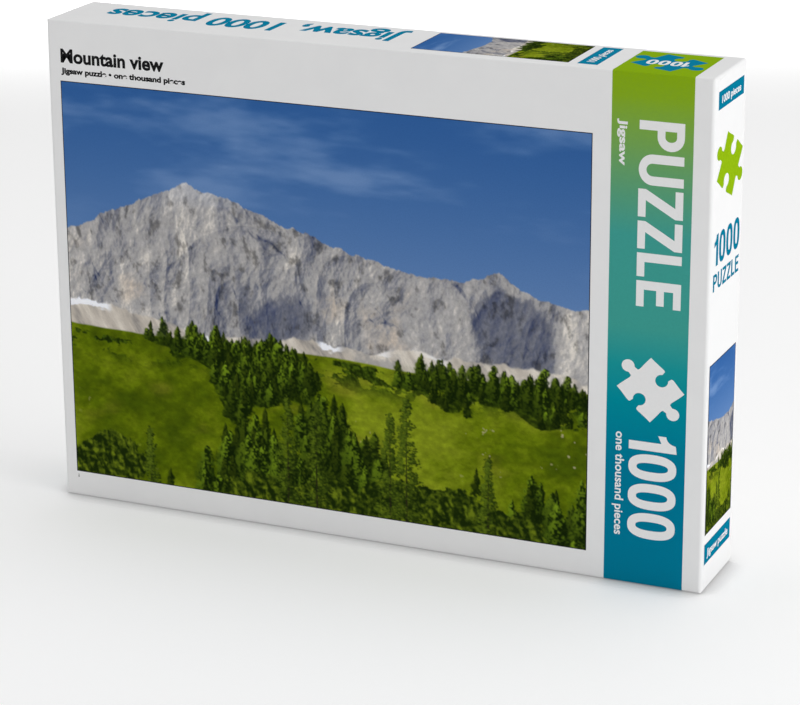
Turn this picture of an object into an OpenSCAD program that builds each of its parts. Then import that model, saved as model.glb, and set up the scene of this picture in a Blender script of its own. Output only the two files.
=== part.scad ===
// A boxed jigsaw puzzle of 1000 pieces: a rigid two-part box, standing on a long edge,
// with the pieces in a film bag inside. Millimetres. X runs along the long side, the lid's
// picture panel faces -Y, Z is up, and the origin is at the middle of the foot of the box.

/* [Box] */
// Long side of the closed box, along X
box_width = 370; // [200:1:500]
// Height of the box as it stands on a long edge
box_height = 268; // [150:1:400]
// Depth from the lid's picture panel to the tray's back
box_depth = 50; // [46:1:90]
// How far the lid's rim stays short of the tray's back
rim_gap = 1; // [0:0.5:10]
// Play between the lid and the tray, on each side
fit_gap = 0.6; // [0.3:0.1:2]

/* [Folds] */
// Radius of the panel's folded edges along its long sides
long_fold = 1; // [0.6:0.1:3]
// Radius of the panel's folded edges along its short sides
short_fold = 2; // [0.6:0.1:3]
// Radius of the corners where two walls meet
corner_fold = 1.4; // [0.6:0.1:3]

/* [Materials] */
// Thickness of the grey board
board = 1.5; // [1:0.1:3]
// Thickness of the printed wrap paper
paper = 0.2; // [0.1:0.05:0.4]
// How far the wrap paper turns in over each rim
turn_in = 18; // [8:1:30]
// Thickness of the gummed tape that holds each corner
tape = 0.15; // [0.1:0.05:0.3]
// Width of each leg of a corner tape
tape_leg = 20; // [10:1:30]
// How far a corner tape stays clear of the fold and the rim
tape_inset = 2; // [1:0.5:10]

/* [Puzzle] */
// Pieces along the picture's long side
columns = 40; // [10:1:50]
// Pieces along the picture's short side
rows = 25; // [10:1:40]
// Length of the finished picture
picture_length = 640; // [300:5:1000]
// Height of the finished picture
picture_height = 480; // [200:5:700]
// Thickness of a piece
piece_depth = 1.9; // [1.5:0.1:2.5]
// Radius of a tab's round head
tab_radius = 2.4; // [1.8:0.1:3]
// Distance from a piece's edge to the middle of a tab's head
tab_reach = 1.7; // [1:0.1:2.4]
// How far a tab may sit from the middle of its edge
tab_shift = 1.2; // [0:0.1:2]
// Play around a tab in its socket
cut_gap = 0.05; // [0.02:0.01:0.2]

/* [Bag] */
// Thickness of the bag's film
film = 0.06; // [0.04:0.01:0.2]
// Room between the bag and the board around it
bag_gap = 1.6; // [1:0.1:5]
// Height of the filled part of the bag
fill_height = 126; // [100:1:160]
// Height of the slack film from the fill up to the seal
slack_height = 22; // [10:1:60]
// Height of the flat heat seal
seal_height = 9; // [5:1:20]

/* [Hidden] */
$fn = 48;

// Overshoot that keeps a cut clean
cut = 1;

// The lid's outside is the box's own; the tray fits inside its turned-in paper
lid_depth = box_depth - rim_gap;
wall = board + 2 * paper;
tray_width = box_width - 2 * wall - 2 * fit_gap;
tray_height = box_height - 2 * wall - 2 * fit_gap;
tray_depth = box_depth - paper - board - fit_gap;

// One puzzle piece, without its tabs, and the circle that any of its turns stays in
piece_width = picture_length / columns;
piece_height = picture_height / rows;
tab_length = tab_reach + tab_radius;
piece_reach = max(norm([piece_width, piece_height]) / 2,
                  piece_height / 2 + tab_length, piece_width / 2 + tab_length);

// The bag stands on the tray's lower wall, and the heap of pieces lies inside it
bag_width = tray_width - 2 * wall - 2 * bag_gap - 6;
bag_floor = (box_height - tray_height) / 2 + wall + 0.3;
bag_depth = box_depth - 2 * (paper + board) - 2 * bag_gap;
seal_film = 2 * film;

// The heap: flat layers along Y, each a hexagonal pattern of cells that a piece can turn in
cell = 2 * piece_reach + 0.1;
cell_row = cell * sqrt(3) / 2;
heap_columns = 12;
heap_rows = 5;
heap_layers = 17;
layer_cells = heap_columns * heap_rows;
layer_pitch = (bag_depth - 2 * film - 0.4) / heap_layers;
lean = 0.8;
heap_play = (bag_width - 2 * film - (heap_columns + 0.5) * cell) / 2 - 0.2;

// Every cut between two pieces has one number from -1 to 1: its sign says which way the
// tab points, and its size places the tab along the edge
upright_cuts = rands(-1, 1, rows * (columns + 1), 11);
level_cuts = rands(-1, 1, columns * (rows + 1), 23);
turns = rands(0, 360, columns * rows, 37);
leans = rands(-lean, lean, 2 * columns * rows, 41);
layer_shifts = rands(-1, 1, heap_layers, 53);

board_colour = [0.60, 0.58, 0.54];
paper_colour = [0.95, 0.95, 0.94];
tape_colour = [0.78, 0.68, 0.50];
film_colour = [0.85, 0.90, 0.95, 0.35];
piece_colour = [0.40, 0.55, 0.62];

// ---------------------------------------------------------------- box shells
// A shell is drawn with its closed panel on the plane y = 0 and its rim at y = depth.

module block(width, height, from, to)
    translate([-width / 2, from, -height / 2])
        cube([width, to - from, height]);

module rounded_rectangle(width, height, radius) {
    square([width - 2 * radius, height], center = true);
    square([width, height - 2 * radius], center = true);
    for (x = [-1, 1], y = [-1, 1])
        translate([x * (width / 2 - radius), y * (height / 2 - radius)])
            circle(radius);
}

// A block with the shell's folded edges, shrunk by inset on every side but the rim
module folded_block(width, height, depth, inset) {
    w = width - 2 * inset;
    h = height - 2 * inset;
    reach = 2 * (depth - inset);
    intersection() {
        translate([0, inset, 0])
            rotate([-90, 0, 0])
                linear_extrude(height = depth - inset)
                    rounded_rectangle(w, h, corner_fold - inset);
        rotate([90, 0, 90])
            translate([depth, 0, -w / 2])
                linear_extrude(height = w)
                    rounded_rectangle(reach, h, long_fold - inset);
        translate([0, depth, -h / 2])
            linear_extrude(height = h)
                rounded_rectangle(w, reach, short_fold - inset);
    }
}

module shell_board_room(width, height, depth)
    difference() {
        folded_block(width, height, depth - paper, paper);
        block(width - 2 * paper - 2 * board, height - 2 * paper - 2 * board,
              paper + board, depth);
    }

module shell_wrap(width, height, depth)
    difference() {
        folded_block(width, height, depth, 0);
        shell_board_room(width, height, depth);
        block(width - 2 * paper - 2 * board, height - 2 * paper - 2 * board,
              paper + board, depth - turn_in);
        block(width - 2 * wall, height - 2 * wall, depth - turn_in - cut, depth + cut);
    }

// The tape lies in the board's outer face, around its corner, so the paper stays flat on it
module corner_tape(width, height, depth, side, top)
    intersection() {
        difference() {
            folded_block(width, height, depth, paper);
            folded_block(width, height, depth + cut, paper + tape);
        }
        mirror([side < 0 ? 1 : 0, 0, 0])
            mirror([0, 0, top < 0 ? 1 : 0])
                translate([width / 2 - paper - tape_leg, paper + tape_inset,
                           height / 2 - paper - tape_leg])
                    cube([tape_leg + cut, depth - 2 * paper - 2 * tape_inset,
                          tape_leg + cut]);
    }

module shell_board(width, height, depth)
    difference() {
        shell_board_room(width, height, depth);
        for (side = [-1, 1], top = [-1, 1])
            corner_tape(width, height, depth, side, top);
    }

// The board is five flat pieces, butted at the folds: the panel, a wall along each long side,
// and a shorter wall between them at each end
module panel_board(width, height, depth)
    intersection() {
        shell_board(width, height, depth);
        block(width, height, 0, paper + board);
    }

module long_wall_board(width, height, depth, top)
    intersection() {
        shell_board(width, height, depth);
        mirror([0, 0, top < 0 ? 1 : 0])
            translate([-width / 2, paper + board, height / 2 - paper - board])
                cube([width, depth, paper + board]);
    }

module short_wall_board(width, height, depth, side)
    intersection() {
        shell_board(width, height, depth);
        mirror([side < 0 ? 1 : 0, 0, 0])
            translate([width / 2 - paper - board, paper + board, -height / 2 + paper + board])
                cube([paper + board, depth, height - 2 * paper - 2 * board]);
    }

module place_lid()
    translate([0, -box_depth / 2, box_height / 2])
        children();

module place_tray()
    translate([0, box_depth / 2, box_height / 2])
        mirror([0, 1, 0])
            children();

module lid_tape(side, top)
    color(tape_colour)
        place_lid()
            corner_tape(box_width, box_height, lid_depth, side, top);

module tray_tape(side, top)
    color(tape_colour)
        place_tray()
            corner_tape(tray_width, tray_height, tray_depth, side, top);

module lid_board_panel()
    color(board_colour)
        place_lid()
            panel_board(box_width, box_height, lid_depth);

module lid_long_wall(top)
    color(board_colour)
        place_lid()
            long_wall_board(box_width, box_height, lid_depth, top);

module lid_short_wall(side)
    color(board_colour)
        place_lid()
            short_wall_board(box_width, box_height, lid_depth, side);

module lid_board_upper() lid_long_wall(1);
module lid_board_lower() lid_long_wall(-1);
module lid_board_left() lid_short_wall(-1);
module lid_board_right() lid_short_wall(1);

module lid_wrap()
    color(paper_colour)
        place_lid()
            shell_wrap(box_width, box_height, lid_depth);

module tray_board_panel()
    color(board_colour)
        place_tray()
            panel_board(tray_width, tray_height, tray_depth);

module tray_long_wall(top)
    color(board_colour)
        place_tray()
            long_wall_board(tray_width, tray_height, tray_depth, top);

module tray_short_wall(side)
    color(board_colour)
        place_tray()
            short_wall_board(tray_width, tray_height, tray_depth, side);

module tray_board_upper() tray_long_wall(1);
module tray_board_lower() tray_long_wall(-1);
module tray_board_left() tray_short_wall(-1);
module tray_board_right() tray_short_wall(1);

module tray_wrap()
    color(paper_colour)
        place_tray()
            shell_wrap(tray_width, tray_height, tray_depth);

module lid_corner_tape_upper_left() lid_tape(-1, 1);
module lid_corner_tape_upper_right() lid_tape(1, 1);
module lid_corner_tape_lower_left() lid_tape(-1, -1);
module lid_corner_tape_lower_right() lid_tape(1, -1);
module tray_corner_tape_upper_left() tray_tape(-1, 1);
module tray_corner_tape_upper_right() tray_tape(1, 1);
module tray_corner_tape_lower_left() tray_tape(-1, -1);
module tray_corner_tape_lower_right() tray_tape(1, -1);

// ---------------------------------------------------------------- bag
// Its section is drawn with Y along the page and Z up it, and runs the bag's whole width.

module bag_section(inset) {
    half = bag_depth / 2 - inset;
    tip = inset > 0 ? 0.02 : seal_film / 2;
    polygon([
        [-half, inset], [half, inset], [half, fill_height],
        [tip, fill_height + slack_height - inset],
        [-tip, fill_height + slack_height - inset], [-half, fill_height]
    ]);
}

module along_bag(width)
    translate([-width / 2, 0, bag_floor])
        rotate([90, 0, 90])
            linear_extrude(height = width)
                children();

module pieces_bag()
    color(film_colour) {
        difference() {
            along_bag(bag_width)
                bag_section(0);
            along_bag(bag_width - 2 * film)
                bag_section(film);
        }
        along_bag(bag_width)
            translate([-seal_film / 2, fill_height + slack_height - film])
                square([seal_film, seal_height]);
    }

// ---------------------------------------------------------------- puzzle pieces

function column_of(piece) = piece % columns;
function row_of(piece) = floor(piece / columns);

// The cut on each side of a piece, turned so that a positive number is a tab: right, top,
// left and bottom. A side on the picture's border has no cut and reads 0.
function sides_of(piece) =
    let (c = column_of(piece), r = row_of(piece))
    [
        c == columns - 1 ? 0 : upright_cuts[r * (columns + 1) + c + 1],
        r == rows - 1 ? 0 : level_cuts[c * (rows + 1) + r + 1],
        c == 0 ? 0 : -upright_cuts[r * (columns + 1) + c],
        r == 0 ? 0 : -level_cuts[c * (rows + 1) + r]
    ];

function borders_of(sides) = len([for (s = sides) if (s == 0) s]);
function tabs_of(sides) = len([for (s = sides) if (s > 0) s]);
function facing_tabs(sides) = (sides[0] > 0) == (sides[2] > 0);

// A kind is the number of borders and tabs, and for two tabs whether they face apart
function is_kind(sides, borders, tabs, facing) =
    borders_of(sides) == borders
    && (borders > 0 || tabs_of(sides) == tabs)
    && (borders > 0 || tabs != 2 || facing_tabs(sides) == facing);

// The middle of the tab or socket on side s, counted anticlockwise from the right
module at_side(s, size) {
    out = (s % 2 == 0 ? piece_width : piece_height) / 2;
    along = (abs(size) - 0.5) * 2 * tab_shift * (s < 2 ? 1 : -1);
    rotate(90 * s)
        translate([out + (size > 0 ? tab_reach : -tab_reach), along])
            children();
}

module piece_outline(sides)
    difference() {
        union() {
            square([piece_width - cut_gap, piece_height - cut_gap], center = true);
            for (s = [0:3])
                if (sides[s] > 0)
                    at_side(s, sides[s])
                        circle(tab_radius);
        }
        for (s = [0:3])
            if (sides[s] < 0)
                at_side(s, sides[s])
                    circle(tab_radius + cut_gap);
    }

// A piece's place in the heap: the stride spreads neighbours in the picture over the bag
function heap_place(piece) =
    let (
        cell_number = (piece * 377 + 61) % (columns * rows),
        layer = floor(cell_number / layer_cells),
        in_layer = cell_number % layer_cells,
        heap_row = floor(in_layer / heap_columns),
        heap_column = in_layer % heap_columns,
        stagger = (heap_row + layer) % 2 == 0 ? -0.25 : 0.25
    )
    [
        (heap_column - (heap_columns - 1) / 2 + stagger) * cell
            + heap_play * layer_shifts[layer],
        (layer - (heap_layers - 1) / 2) * layer_pitch,
        bag_floor + film + 0.4 + piece_reach + heap_row * cell_row
    ];

module puzzle_pieces(borders, tabs = 0, facing = false)
    color(piece_colour)
        for (piece = [0:columns * rows - 1]) {
            sides = sides_of(piece);
            if (is_kind(sides, borders, tabs, facing))
                translate(heap_place(piece))
                    rotate([90 + leans[2 * piece], 0, leans[2 * piece + 1]])
                        rotate(turns[piece])
                            translate([0, 0, -piece_depth / 2])
                                linear_extrude(height = piece_depth)
                                    piece_outline(sides);
        }

module corner_pieces() puzzle_pieces(2);
module edge_pieces() puzzle_pieces(1);
module inner_pieces_no_tab() puzzle_pieces(0, 0);
module inner_pieces_one_tab() puzzle_pieces(0, 1);
module inner_pieces_two_tabs_opposite() puzzle_pieces(0, 2, true);
module inner_pieces_two_tabs_adjacent() puzzle_pieces(0, 2, false);
module inner_pieces_three_tabs() puzzle_pieces(0, 3);
module inner_pieces_four_tabs() puzzle_pieces(0, 4);

// ---------------------------------------------------------------- output
lid_board_panel();
lid_board_upper();
lid_board_lower();
lid_board_left();
lid_board_right();
lid_wrap();
lid_corner_tape_upper_left();
lid_corner_tape_upper_right();
lid_corner_tape_lower_left();
lid_corner_tape_lower_right();
tray_board_panel();
tray_board_upper();
tray_board_lower();
tray_board_left();
tray_board_right();
tray_wrap();
tray_corner_tape_upper_left();
tray_corner_tape_upper_right();
tray_corner_tape_lower_left();
tray_corner_tape_lower_right();
pieces_bag();
corner_pieces();
edge_pieces();
inner_pieces_no_tab();
inner_pieces_one_tab();
inner_pieces_two_tabs_opposite();
inner_pieces_two_tabs_adjacent();
inner_pieces_three_tabs();
inner_pieces_four_tabs();
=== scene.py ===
"""A boxed jigsaw puzzle: a printed lift-off lid, a white tray and a clear bag of one thousand pieces."""

import math

import bpy
import numpy as np
from mathutils import Matrix, Vector


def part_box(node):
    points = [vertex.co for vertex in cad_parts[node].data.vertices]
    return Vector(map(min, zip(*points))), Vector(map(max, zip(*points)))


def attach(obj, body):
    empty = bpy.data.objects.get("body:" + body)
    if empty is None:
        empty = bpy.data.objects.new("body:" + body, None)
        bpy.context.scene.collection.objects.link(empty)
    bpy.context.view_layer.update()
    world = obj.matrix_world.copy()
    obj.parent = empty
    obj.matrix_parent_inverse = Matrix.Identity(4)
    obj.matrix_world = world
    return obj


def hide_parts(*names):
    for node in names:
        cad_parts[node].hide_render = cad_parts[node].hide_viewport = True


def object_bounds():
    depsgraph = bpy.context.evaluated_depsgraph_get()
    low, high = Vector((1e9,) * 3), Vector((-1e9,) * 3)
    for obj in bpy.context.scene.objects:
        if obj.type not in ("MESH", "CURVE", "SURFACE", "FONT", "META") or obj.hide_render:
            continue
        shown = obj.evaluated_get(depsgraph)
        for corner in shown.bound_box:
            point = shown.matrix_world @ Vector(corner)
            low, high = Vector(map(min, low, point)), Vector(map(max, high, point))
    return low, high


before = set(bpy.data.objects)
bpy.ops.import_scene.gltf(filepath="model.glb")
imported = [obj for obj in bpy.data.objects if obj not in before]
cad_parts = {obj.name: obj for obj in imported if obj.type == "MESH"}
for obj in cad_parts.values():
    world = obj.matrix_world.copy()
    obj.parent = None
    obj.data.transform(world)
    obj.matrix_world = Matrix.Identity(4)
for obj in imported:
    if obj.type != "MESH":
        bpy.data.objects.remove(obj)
cad_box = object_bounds()
scene = bpy.context.scene

MM = 0.001
SEED = 7

# ---------------- the box, in millimetres

LID_LOW, LID_HIGH = (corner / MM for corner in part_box("lid_wrap"))
BOX_HEIGHT = LID_HIGH.z - LID_LOW.z
LONG_FOLD = 1.0     # radius of the lid's folds along its long sides
SINK = 0.02         # how far a printed layer's underside lies inside the paper
INK = 0.03          # how far a printed layer stands on the paper
FLAP = 0.11         # thickness of the folded-in paper on the short sides


class Panel:
    """A flat side of the box. u runs to the right and v down as it is looked at, in millimetres."""

    def __init__(self, origin, right, down):
        self.origin, self.right, self.down = Vector(origin), Vector(right), Vector(down)
        self.normal = self.down.cross(self.right)

    def points(self, flat, lift):
        """Places in metres of an array of (u, v) points, raised by lift."""
        u, v = np.asarray(flat, float).T
        lift = np.broadcast_to(lift, u.shape)
        place = (np.array(self.origin) + np.outer(u, self.right) + np.outer(v, self.down)
                 + np.outer(lift, self.normal))
        return place * MM


RIGHT, BACK, UP = Vector((1, 0, 0)), Vector((0, 1, 0)), Vector((0, 0, 1))
FRONT_SIDE = Panel((LID_LOW.x, LID_LOW.y, LID_HIGH.z), RIGHT, -UP)
RIGHT_SIDE = Panel((LID_HIGH.x, LID_LOW.y, LID_HIGH.z), BACK, -UP)
LEFT_SIDE = Panel((LID_LOW.x, LID_HIGH.y, LID_HIGH.z), -BACK, -UP)
TOP_SIDE = Panel((LID_LOW.x, LID_HIGH.y, LID_HIGH.z), RIGHT, -BACK)
BOTTOM_SIDE = Panel((LID_LOW.x, LID_LOW.y, LID_LOW.z), RIGHT, BACK)


# ---------------- small helpers

FRONT_LIGHT = 0.74     # the light that reaches the front, as a share of full white
SIDE_LIGHT = 1.12      # the same for the right side, which faces the key light


def to_linear(screen):
    """Linear values of screen values from 0 to 1."""
    return np.where(screen <= 0.04045, screen / 12.92, ((screen + 0.055) / 1.055) ** 2.4)


def ink(*rgb, light=FRONT_LIGHT):
    """The reflectance of an ink that shows as this screen colour, of 0 to 255, in this light."""
    return tuple(min(c / light, 0.95) for c in to_linear(np.array(rgb, float) / 255))


def smooth(low, high, x):
    """0 below low, 1 above high, and a smooth step between."""
    t = np.clip((x - low) / (high - low), 0, 1)
    return t * t * (3 - 2 * t)


def mesh_piece(name, verts, faces, material, body, smooth_shade=False):
    """A mesh object in the row frame, in metres, that rides on a body."""
    mesh = bpy.data.meshes.new(name)
    mesh.from_pydata([tuple(v) for v in verts], [], [tuple(f) for f in faces])
    mesh.validate()
    mesh.polygons.foreach_set("use_smooth", [smooth_shade] * len(mesh.polygons))
    piece = bpy.data.objects.new(name, mesh)
    scene.collection.objects.link(piece)
    mesh.materials.append(material)
    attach(piece, body)
    return piece


# ---------------- materials

class Nodes:
    """Short calls for building one material's node tree around a Principled shader."""

    def __init__(self, name):
        self.material = bpy.data.materials.new(name)
        self.material.use_nodes = True
        self.tree = self.material.node_tree
        self.tree.nodes.clear()
        self.shader = self.add("ShaderNodeBsdfPrincipled")
        output = self.add("ShaderNodeOutputMaterial")
        self.tree.links.new(self.shader.outputs[0], output.inputs["Surface"])
        self.place = self.add("ShaderNodeTexCoord").outputs["Object"]

    def add(self, kind, **settings):
        node = self.tree.nodes.new(kind)
        for key, value in settings.items():
            setattr(node, key, value)
        return node

    def put(self, socket, value):
        """Links an input to another node's output, or sets it."""
        if isinstance(value, bpy.types.NodeSocket):
            self.tree.links.new(value, socket)
        elif socket.type == "RGBA":
            socket.default_value = (*value, 1)
        else:
            socket.default_value = value

    def feed(self, node, **inputs):
        """Puts values into inputs, named in lower case with _ for spaces."""
        for key, value in inputs.items():
            socket = next(s for s in node.inputs if s.name.lower().replace(" ", "_") == key and s.enabled)
            self.put(socket, value)
        return node

    def finish(self, **inputs):
        self.feed(self.shader, **inputs)
        return self.material

    def noise(self, per_mm, detail=4, roughness=0.55, stretch=(1, 1, 1), offset=(0, 0, 0)):
        """A noise value from 0 to 1 with this many features in a millimetre."""
        mapping = self.feed(self.add("ShaderNodeMapping"), vector=self.place, scale=stretch,
                            location=offset)
        node = self.add("ShaderNodeTexNoise")
        self.feed(node, vector=mapping.outputs[0], scale=per_mm / MM, detail=detail, roughness=roughness)
        return node.outputs["Fac"]

    def ramp(self, value, stops):
        """A colour for each value, from (value, colour) stops."""
        node = self.add("ShaderNodeValToRGB")
        self.tree.links.new(value, node.inputs[0])
        elements = node.color_ramp.elements
        while len(elements) < len(stops):
            elements.new(0.5)
        for element, (at, colour) in zip(elements, stops):
            element.position = at
            element.color = (*colour, 1)
        return node.outputs["Color"]

    def range(self, value, low, high, to_low, to_high):
        node = self.add("ShaderNodeMapRange")
        self.feed(node, value=value, from_min=low, from_max=high, to_min=to_low, to_max=to_high)
        return node.outputs[0]

    def math(self, operation, a, b=0.0):
        node = self.add("ShaderNodeMath", operation=operation)
        for socket, value in zip(node.inputs, (a, b)):
            self.put(socket, value)
        return node.outputs[0]

    def mix(self, share, a, b, kind="MIX"):
        node = self.add("ShaderNodeMix", data_type="RGBA", blend_type=kind)
        for socket, value in ((node.inputs[0], share), (node.inputs[6], a), (node.inputs[7], b)):
            self.put(socket, value)
        return node.outputs[2]

    def bump(self, height, distance_mm, strength=1.0, base=None):
        node = self.add("ShaderNodeBump")
        self.feed(node, height=height, distance=distance_mm * MM, strength=strength)
        if base is not None:
            self.tree.links.new(base, node.inputs["Normal"])
        return node.outputs[0]


PAPER_FIBRES, PAPER_WAVES = 3.0, 0.022    # features in a millimetre
INK_SHINE = 0.0                           # printed inks don't mirror the bright studio


def paper_relief(nodes, depth=0.02):
    """The fine tooth of coated paper on board, over its very slow waves."""
    tooth = nodes.bump(nodes.noise(PAPER_FIBRES, 3, 0.6), depth, 0.35)
    waves = nodes.noise(PAPER_WAVES, 2, 0.4)
    return nodes.bump(waves, 0.25, 0.5, tooth)


def coated_paper():
    nodes = Nodes("coated_paper")
    cloud = nodes.noise(0.05, 3)
    fleck = nodes.noise(2.2, 4, 0.7)
    shade = nodes.ramp(cloud, [(0.3, (0.845, 0.845, 0.848)), (0.7, (0.868, 0.868, 0.868))])
    shade = nodes.mix(nodes.range(fleck, 0.66, 0.82, 0, 0.25), shade, (0.74, 0.74, 0.735))
    rough = nodes.range(nodes.noise(0.4, 3), 0.3, 0.7, 0.42, 0.52)
    return nodes.finish(base_color=shade, roughness=rough, specular_ior_level=0.2,
                        normal=paper_relief(nodes))


def tray_paper():
    nodes = Nodes("tray_paper")
    cloud = nodes.noise(0.03, 3)
    fleck = nodes.noise(1.4, 5, 0.75)
    shade = nodes.ramp(cloud, [(0.3, (0.80, 0.80, 0.79)), (0.7, (0.84, 0.84, 0.835))])
    shade = nodes.mix(nodes.range(fleck, 0.62, 0.8, 0, 0.35), shade, (0.66, 0.65, 0.63))
    rough = nodes.range(nodes.noise(0.4, 3), 0.3, 0.7, 0.62, 0.75)
    return nodes.finish(base_color=shade, roughness=rough, specular_ior_level=0.3,
                        normal=paper_relief(nodes, 0.035))


def grey_board():
    nodes = Nodes("grey_board")
    pulp = nodes.noise(0.5, 6, 0.7)
    shade = nodes.ramp(pulp, [(0.3, (0.19, 0.185, 0.175)), (0.5, (0.27, 0.265, 0.25)),
                              (0.72, (0.36, 0.35, 0.33))])
    dark = nodes.noise(1.3, 2, 0.5, stretch=(1, 1, 0.25))
    shade = nodes.mix(nodes.range(dark, 0.68, 0.74, 0, 0.7), shade, (0.07, 0.065, 0.06))
    pale = nodes.noise(1.1, 2, 0.5, stretch=(0.25, 1, 1), offset=(3, 1, 2))
    shade = nodes.mix(nodes.range(pale, 0.70, 0.76, 0, 0.6), shade, (0.62, 0.6, 0.55))
    relief = nodes.bump(nodes.noise(1.2, 5, 0.7), 0.08, 0.6)
    rough = nodes.range(pulp, 0.3, 0.7, 0.82, 0.95)
    return nodes.finish(base_color=shade, roughness=rough, specular_ior_level=0.2, normal=relief)


def kraft_tape():
    nodes = Nodes("kraft_tape")
    fibre = nodes.noise(0.7, 5, 0.7, stretch=(1, 1, 0.3))
    shade = nodes.ramp(fibre, [(0.3, (0.36, 0.24, 0.13)), (0.7, (0.52, 0.37, 0.22))])
    ribs = nodes.bump(nodes.noise(0.9, 2, 0.5, stretch=(0.2, 0.2, 1)), 0.05, 0.5)
    rough = nodes.range(fibre, 0.3, 0.7, 0.5, 0.65)
    return nodes.finish(base_color=shade, roughness=rough, specular_ior_level=0.4, normal=ribs)


def finish_ink(nodes, shade, smoothest, roughest):
    """Ink that lies on the coated paper and shows the paper's own tooth."""
    rough = nodes.range(nodes.noise(0.5, 3), 0.3, 0.7, smoothest, roughest)
    return nodes.finish(base_color=shade, roughness=rough, specular_ior_level=INK_SHINE,
                        normal=paper_relief(nodes, 0.015))


def printed_ink(name, colour, fleck=0.05, shine=0.40):
    """A solid printed colour with a slight mottle."""
    nodes = Nodes(name)
    darker = tuple(c * (1 - 2 * fleck) for c in colour)
    lighter = tuple(min(c * (1 + fleck) + 0.004, 1) for c in colour)
    mottle = nodes.noise(0.9, 5, 0.7)
    shade = nodes.ramp(mottle, [(0.3, darker), (0.7, lighter)])
    return finish_ink(nodes, shade, shine - 0.04, shine + 0.06)


def band_ink():
    """The band's ink runs from leaf green at the top, through a flat sea green, to a deep teal."""
    nodes = Nodes("band_ink")
    height = nodes.add("ShaderNodeSeparateXYZ")
    nodes.tree.links.new(nodes.place, height.inputs[0])
    down = nodes.range(height.outputs["Z"], LID_HIGH.z * MM, LID_LOW.z * MM, 0, 1)
    tints = [(0, (121, 154, 11)), (12, (119, 153, 26)), (36, (104, 148, 74)), (62, (78, 142, 110)),
             (82, (57, 140, 131)), (130, (56, 140, 131)), (150, (22, 132, 136)),
             (170, (0, 123, 138)), (202, (0, 107, 135)), (BOX_HEIGHT, (0, 107, 135))]
    stops = [(y / BOX_HEIGHT, ink(*tint)) for y, tint in tints]
    shade = nodes.ramp(down, stops)
    mottle = nodes.noise(0.9, 5, 0.7)
    shade = nodes.mix(nodes.range(mottle, 0.35, 0.75, 0, 0.10), shade, (0.03, 0.12, 0.12))
    return finish_ink(nodes, shade, 0.36, 0.46)


def picture_ink():
    """The painted landscape from the mesh's colours, with the fine rosette grain of a press."""
    nodes = Nodes("picture_ink")
    paint = nodes.add("ShaderNodeAttribute", attribute_name="paint")
    grain = nodes.noise(1.6, 4, 0.75)
    dark = nodes.mix(1.0, paint.outputs["Color"], (0.86, 0.86, 0.87), "MULTIPLY")
    shade = nodes.mix(nodes.range(grain, 0.45, 0.75, 0, 1), paint.outputs["Color"], dark)
    return finish_ink(nodes, shade, 0.33, 0.43)


def puzzle_board():
    """Each piece has its print on one side and plain grey board on the other and round its cut."""
    nodes = Nodes("puzzle_board")
    geometry = nodes.add("ShaderNodeNewGeometry")
    luck = geometry.outputs["Random Per Island"]
    tints = [(0.0, (0.045, 0.115, 0.33)), (0.24, (0.09, 0.17, 0.40)), (0.30, (0.33, 0.33, 0.34)),
             (0.46, (0.52, 0.51, 0.50)), (0.50, (0.12, 0.16, 0.01)), (0.66, (0.22, 0.27, 0.02)),
             (0.72, (0.03, 0.05, 0.008)), (1.0, (0.07, 0.10, 0.012))]
    base = nodes.ramp(luck, tints)
    blotch = nodes.noise(0.22, 5, 0.65)
    print_shade = nodes.mix(nodes.range(blotch, 0.4, 0.7, 0, 0.75), base, (0.02, 0.035, 0.02))
    spots = nodes.noise(0.6, 4, 0.7)
    print_shade = nodes.mix(nodes.range(spots, 0.56, 0.72, 0, 0.4), print_shade, (0.55, 0.56, 0.5))
    pulp = nodes.noise(0.8, 5, 0.7)
    board = nodes.ramp(pulp, [(0.3, (0.36, 0.35, 0.33)), (0.7, (0.50, 0.49, 0.46))])
    way = nodes.add("ShaderNodeSeparateXYZ")
    nodes.tree.links.new(geometry.outputs["Normal"], way.inputs[0])
    flip = nodes.math("GREATER_THAN", nodes.math("FRACT", nodes.math("MULTIPLY", luck, 57.0)), 0.5)
    sign = nodes.range(flip, 0, 1, -1, 1)
    faces_out = nodes.math("GREATER_THAN", nodes.math("MULTIPLY", way.outputs["Y"], sign), 0.6)
    shade = nodes.mix(faces_out, board, print_shade)
    rough = nodes.range(faces_out, 0, 1, 0.85, 0.4)
    relief = nodes.bump(nodes.noise(1.5, 4, 0.7), 0.03, 0.5)
    return nodes.finish(base_color=shade, roughness=rough, specular_ior_level=0.35, normal=relief)


def clear_film():
    nodes = Nodes("clear_film")
    crinkle = nodes.bump(nodes.noise(0.18, 6, 0.7), 0.6, 0.7)
    fine = nodes.bump(nodes.noise(0.9, 3, 0.6), 0.08, 0.5, crinkle)
    haze = nodes.ramp(nodes.noise(0.1, 4), [(0.3, (0.86, 0.88, 0.90)), (0.7, (0.95, 0.96, 0.97))])
    alpha = nodes.range(nodes.noise(0.25, 5, 0.7), 0.35, 0.75, 0.12, 0.34)
    return nodes.finish(base_color=haze, alpha=alpha, roughness=0.14, specular_ior_level=0.7,
                        normal=fine)


PAPER = coated_paper()
TEAL = printed_ink("teal_ink", ink(6, 112, 143))
BRIGHT_TEAL = printed_ink("bright_teal_ink", ink(0, 126, 159, light=SIDE_LIGHT))
GREEN = printed_ink("green_ink", ink(150, 190, 15, light=SIDE_LIGHT))
BLACK = printed_ink("black_ink", (0.012, 0.012, 0.013), shine=0.36)
KEYLINE = printed_ink("keyline_ink", (0.02, 0.02, 0.025), shine=0.36)
WHITE = printed_ink("unprinted_paper", (0.86, 0.86, 0.86), fleck=0.01, shine=0.45)
BAND = band_ink()
PICTURE = picture_ink()
FILM = clear_film()

# ---------------- the painted landscape

PICTURE_WIDTH, PICTURE_TALL = 299.2, 220.4
ASPECT = PICTURE_WIDTH / PICTURE_TALL


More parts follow.
